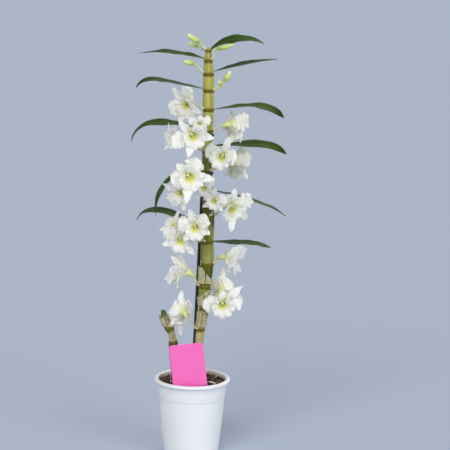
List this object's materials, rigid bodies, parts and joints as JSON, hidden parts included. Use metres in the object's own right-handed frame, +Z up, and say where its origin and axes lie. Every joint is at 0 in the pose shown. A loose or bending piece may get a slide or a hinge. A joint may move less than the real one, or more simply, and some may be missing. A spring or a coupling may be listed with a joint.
{
  "type": "potted dendrobium orchid",
  "caption": "Tall leafy orchid cane with white blossoms along it and buds at its top, beside a short old cane in a tapered white pot with a stake and a blank pink label.",
  "frame": {"origin": "middle of the pot's base, on the surface that the pot stands on", "axes": "+Z up along the tall cane, -Y towards the front that most blossoms face, +X to the right seen from the front"},
  "size_m": [0.2455, 0.1371, 0.6617],
  "materials": {
    "pot": "smooth white plastic",
    "potting_mix": "damp bark chips",
    "label": "satin card",
    "stake": "dark green plastic",
    "tie": "soft black band",
    "cane": "fleshy green cane",
    "old_cane": "shrivelled old cane",
    "sheath": "papery dry sheath",
    "leaf": "leathery leaf",
    "blossom": "waxy white petals",
    "bud": "waxy yellow-green bud",
    "root": "dry pale root"
  },
  "bodies": {
    "root": {"pot": "pot", "potting_mix": "potting_mix", "plant_tag": "label", "support_stake": "stake", "tie_lower": "tie", "tie_upper": "tie", "main_cane": "cane", "short_cane": "old_cane", "sheath_lower": "sheath", "sheath_middle": "sheath", "sheath_upper": "sheath", "leaf_1": "leaf", "leaf_2": "leaf", "leaf_3": "leaf", "leaf_4": "leaf", "leaf_5": "leaf", "leaf_6": "leaf", "leaf_7": "leaf", "leaf_8": "leaf", "leaf_9": "leaf", "leaf_10": "leaf", "leaf_11": "leaf", "blossom_1": "blossom", "blossom_2": "blossom", "blossom_3": "blossom", "blossom_4": "blossom", "blossom_5": "blossom", "blossom_6": "blossom", "blossom_7": "blossom", "blossom_8": "blossom", "blossom_9": "blossom", "blossom_10": "blossom", "blossom_11": "blossom", "blossom_12": "blossom", "blossom_13": "blossom", "blossom_14": "blossom", "blossom_15": "blossom", "blossom_16": "blossom", "blossom_17": "blossom", "blossom_18": "blossom", "blossom_19": "blossom", "blossom_20": "blossom", "bud_1": "bud", "bud_2": "bud", "bud_3": "bud", "bud_4": "bud", "bud_5": "bud", "bud_6": "bud", "root_1": "root", "root_2": "root", "root_3": "root"}
  },
  "joints": []
}
